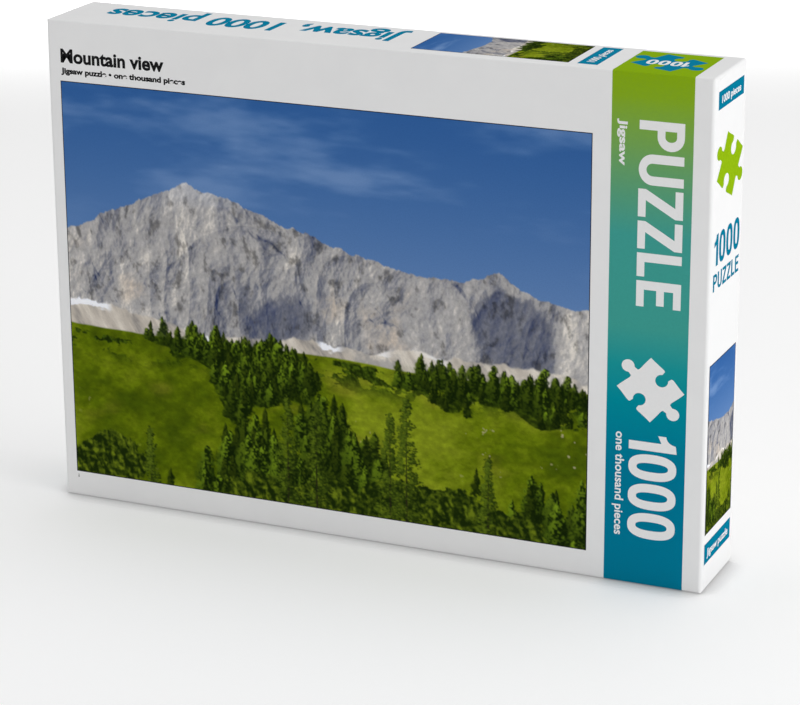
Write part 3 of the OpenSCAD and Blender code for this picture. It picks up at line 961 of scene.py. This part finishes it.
def paper_flap(name, panel):
    """The paper of a short side laps over its neighbours' turned-in paper, a hair's breadth proud.

    It rises gently out of the front fold, and its far edge and both ends show as fine steps.
    """
    start, far, edge = 2.4, 45.9, 1.5
    stations = [(start, -SINK), (start + 1.6, FLAP * 0.6), (start + 4.0, FLAP), (far, FLAP)]
    top, foot = edge, BOX_HEIGHT - edge
    verts, faces = [], []
    for u, rise in stations:
        for v in (top, foot):
            verts += [panel.points([(u, v)], rise)[0], panel.points([(u, v)], -SINK)[0]]
    for k in range(len(stations) - 1):
        a, b = 4 * k, 4 * (k + 1)
        faces += [(a, a + 2, b + 2, b), (a + 1, b + 1, b + 3, a + 3),
                  (a, b, b + 1, a + 1), (a + 2, a + 3, b + 3, b + 2)]
    last = 4 * (len(stations) - 1)
    faces += [(last, last + 2, last + 3, last + 1)]
    mesh_piece(name, verts, faces, PAPER, "lid")


def corner_tuck(name, panel, foot):
    """Where three folds meet, the paper is tucked under itself and leaves a short slanting edge."""
    flat = np.array([(2.5, 1.6), (7.2, 1.7), (4.4, 2.9), (3.0, 6.8)])
    if foot:
        flat[:, 1] = BOX_HEIGHT - flat[:, 1]
        flat = flat[::-1]
    proud = FLAP + 0.22
    over = panel.points(flat, [FLAP, proud, proud, FLAP])
    under = panel.points(flat, 0.0)
    walls = [(k, (k + 1) % 4, 4 + (k + 1) % 4, 4 + k) for k in range(4)]
    mesh_piece(name, np.r_[over, under], [(3, 2, 1, 0), (4, 5, 6, 7), *walls], PAPER, "lid")


front_print()
for side_name, side_panel in (("right_side", RIGHT_SIDE), ("left_side", LEFT_SIDE)):
    paper_flap(f"{side_name}_flap", side_panel)
    corner_tuck(f"{side_name}_upper_tuck", side_panel, False)
    corner_tuck(f"{side_name}_lower_tuck", side_panel, True)
    short_side_print(side_name, side_panel)
top_print()
bottom_print()


# ---------------- the bag of pieces

def film_bag():
    """A clear pouch: crisp creases where it is full, a slack gathered top and a ribbed seal."""
    low, high = (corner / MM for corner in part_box("pieces_bag"))
    half_wide, half_deep = (high.x - low.x) / 2, (high.y - low.y) / 2
    noise = Noise(SEED + 4)
    filled, slack = low.z + 126, low.z + 148    # up to where the pieces reach, and the slack film
    inset, deepest = 1.2, 1.15                  # the film's rest inside the CAD bag, and its creases
    rows = [(low.z, 0.25), (low.z + 0.05, 0.4), (low.z + 0.1, 0.8), (low.z + 0.3, 1.0)]
    rows += [(z, 1.0) for z in np.arange(low.z + 2.5, filled, 2.2)]
    for k in range(1, 15):
        share = k / 14
        rows.append((filled + (slack - filled) * share, max(0.012, 1 - share**1.15)))
    rows += [(slack + (high.z - slack) * k / 12, 0.010 + 0.006 * (k % 2)) for k in range(1, 13)]
    corner, step = 1.4, 2.2
    verts, count = [], 0
    for z, depth in rows:
        ring = pouch_ring(half_wide - inset, (half_deep - inset) * depth, corner, step)
        count = len(ring)
        for x, y, nx, ny in ring:
            full = smooth(filled + 14, filled - 6, z)
            crease = noise.ridged(np.array(x / 23 + 40 * (y > 0)), np.array(z / 31), 4, 0.6)
            pleat = noise.cloudy(np.array(x / 13 + 60 * (y > 0)), np.array(z / 60), 4)
            sealed = smooth(slack - 3, slack, z)
            out = float(full * deepest * crease + (1 - full) * (1 - sealed) * 2.4 * pleat * depth**0.5)
            verts.append((x + nx * min(out, deepest), y + ny * out, z))
    faces = [(r * count + k, r * count + (k + 1) % count, (r + 1) * count + (k + 1) % count,
              (r + 1) * count + k) for r in range(len(rows) - 1) for k in range(count)]
    half = count // 2
    for r, flip in ((0, True), (len(rows) - 1, False)):
        for k in range(half - 1):
            quad = (r * count + k, r * count + k + 1, r * count + (count - 2 - k) % count,
                    r * count + (count - 1 - k) % count)
            faces.append(quad[::-1] if flip else quad)
    bag = mesh_piece("film_bag", np.array(verts) * MM, faces, FILM, "bag", smooth_shade=True)
    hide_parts("pieces_bag")


def pouch_ring(a, b, corner, step):
    """Points and outward directions round a rounded rectangle, the front side first, both sides alike."""
    corner = min(corner, b * 0.95)
    half = []
    count = int(2 * (a - corner) / step)
    for k in range(count + 1):
        half.append((-(a - corner) + 2 * (a - corner) * k / count, -b, 0.0, -1.0))
    for k in range(1, 9):
        t = -math.pi / 2 + math.pi * k / 9
        x, y = math.cos(t), math.sin(t)
        straight = (b - corner) * np.sign(y) * min(1, abs(y) * 3)
        half.append((a - corner + corner * x, straight + corner * y, x, y))
    back = [(-x, -y, -nx, -ny) for x, y, nx, ny in half]
    return half + back


film_bag()


# ---------------- the CAD parts' materials

def dress(node, material):
    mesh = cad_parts[node].data
    mesh.materials.clear()
    mesh.materials.append(material)


TRAY_PAPER, BOARD, TAPE, PUZZLE = tray_paper(), grey_board(), kraft_tape(), puzzle_board()
for node_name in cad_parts:
    if node_name == "lid_wrap":
        dress(node_name, PAPER)
    elif node_name == "tray_wrap":
        dress(node_name, TRAY_PAPER)
    elif "_board_" in node_name:
        dress(node_name, BOARD)
    elif "_tape_" in node_name:
        dress(node_name, TAPE)
    elif "pieces" in node_name and node_name != "pieces_bag":
        dress(node_name, PUZZLE)


# ---------------- floor, lights and camera

def floor():
    """A plain pale floor that glows faintly, with a painted contact shadow: its colour and its glow darken
    close to whatever stands on it.
    """
    half = 6.0
    nodes = Nodes("studio_floor")
    # painted contact shadow: an ambient-occlusion value darkens the floor's colour near whatever stands on
    # it
    contact_shadow_ao = nodes.add("ShaderNodeAmbientOcclusion", samples=8)
    contact_shadow_ao.inputs["Distance"].default_value = 16 * MM
    hidden, clear = 0.5, 0.9
    shade = nodes.ramp(contact_shadow_ao.outputs["AO"], [(hidden, (0.50, 0.50, 0.50)), (clear, (0.81, 0.81, 0.81))])
    # the floor's own glow, though it is no lamp, dims there too as painted shadow
    glow = nodes.range(contact_shadow_ao.outputs["AO"], hidden, clear, 0.16, 0.26)
    nodes.finish(base_color=shade, roughness=0.6, specular_ior_level=0.2,
                 emission_color=(1, 1, 1), emission_strength=glow)
    mesh = bpy.data.meshes.new("studio_floor")
    mesh.from_pydata([(-half, -half, 0), (half, -half, 0), (half, half, 0), (-half, half, 0)], [],
                     [(0, 1, 2, 3)])
    mesh.materials.append(nodes.material)
    ground = bpy.data.objects.new("studio_floor", mesh)
    scene.collection.objects.link(ground)
    ground.location.z = cad_box[0][2] - 0.0005


def area_light(name, place, target, size, watts, spread=180):
    light = bpy.data.lights.new(name, "AREA")
    light.shape = "RECTANGLE"
    light.size, light.size_y = size
    light.energy = watts
    light.spread = math.radians(spread)
    lamp = bpy.data.objects.new(name, light)
    scene.collection.objects.link(lamp)
    lamp.location = place
    lamp.rotation_euler = (Vector(target) - Vector(place)).to_track_quat("-Z", "Y").to_euler()


def lights():
    world = bpy.data.worlds.new("studio")
    world.use_nodes = True
    background = world.node_tree.nodes["Background"]
    background.inputs["Color"].default_value = (1, 1, 1, 1)
    background.inputs["Strength"].default_value = 0.455
    scene.world = world
    middle = (0, 0, BOX_HEIGHT / 2 * MM)
    area_light("key_light", (2.6, -0.4, 0.75), middle, (1.6, 1.0), 27.5)
    area_light("front_light", (-0.9, -2.6, 1.2), middle, (2.0, 1.4), 1.5)
    area_light("top_light", (0.2, 0.3, 2.6), middle, (2.2, 2.2), 23)
    area_light("backdrop_light", (-0.62, 1.42, 0.6), (-0.66, 1.51, 0), (2.0, 0.5), 8, spread=95)
    scene.view_settings.view_transform = "Standard"


def camera():
    """Looks at the box from the photograph's viewing angle. Its places are in millimetres."""
    azimuth, elevation, roll = math.radians(23.69), math.radians(18.41), -0.00565
    distance, aside, above = 1534.7, -6.91, 33.97
    back = Vector((math.sin(azimuth) * math.cos(elevation), -math.cos(azimuth) * math.cos(elevation),
                   math.sin(elevation)))
    level = Vector((math.cos(azimuth), math.sin(azimuth), 0))
    rise = back.cross(level)
    right = math.cos(roll) * level + math.sin(roll) * rise
    up = math.cos(roll) * rise - math.sin(roll) * level
    middle = Vector((0, 0, BOX_HEIGHT / 2))
    lens = bpy.data.cameras.new("camera")
    lens.lens, lens.sensor_width = 131.25, 36.0
    lens.clip_start, lens.clip_end = 0.05, 30
    eye = bpy.data.objects.new("camera", lens)
    scene.collection.objects.link(eye)
    turn = Matrix((right, up, back)).transposed().to_4x4()
    place = (middle + distance * back - aside * right - above * up) * MM
    eye.matrix_world = Matrix.Translation(place) @ turn
    scene.camera = eye


floor()
lights()
camera()
